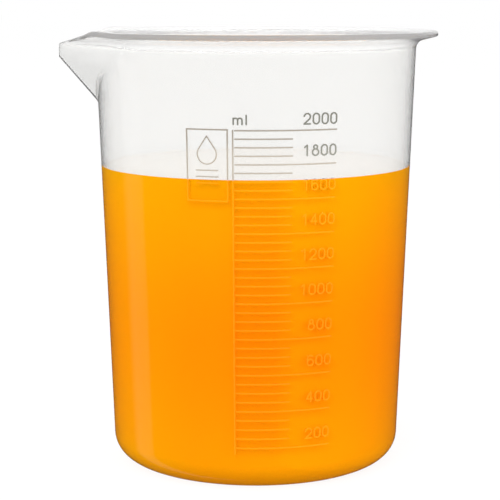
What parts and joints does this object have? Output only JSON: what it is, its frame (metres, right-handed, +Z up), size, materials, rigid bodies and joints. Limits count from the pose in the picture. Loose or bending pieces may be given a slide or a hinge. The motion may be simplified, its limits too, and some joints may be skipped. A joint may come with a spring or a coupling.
{
  "type": "measuring beaker",
  "caption": "Translucent low-form plastic measuring beaker with a flared rim, a pouring spout and a raised volume scale on its front.",
  "frame": {"origin": "on the beaker's axis, in the plane that its foot ring stands on", "axes": "+Z up along the axis, -Y towards the front that carries the scale, -X towards the spout"},
  "size_m": [0.1679, 0.161, 0.1925],
  "materials": {
    "clear_plastic": "translucent natural polypropylene, satin",
    "scale_marks": "raised marks, grey-brown",
    "orange_liquid": "opaque orange liquid"
  },
  "bodies": {
    "root": {"beaker_body": "clear_plastic", "scale_spine": "scale_marks", "scale_lines_200ml": "scale_marks", "scale_lines_50ml": "scale_marks", "unit_mark_ml": "scale_marks", "panel_frame": "scale_marks", "panel_symbol": "scale_marks", "numeral_200": "scale_marks", "numeral_400": "scale_marks", "numeral_600": "scale_marks", "numeral_800": "scale_marks", "numeral_1000": "scale_marks", "numeral_1200": "scale_marks", "numeral_1400": "scale_marks", "numeral_1600": "scale_marks", "numeral_1800": "scale_marks", "numeral_2000": "scale_marks"}
  },
  "joints": []
}
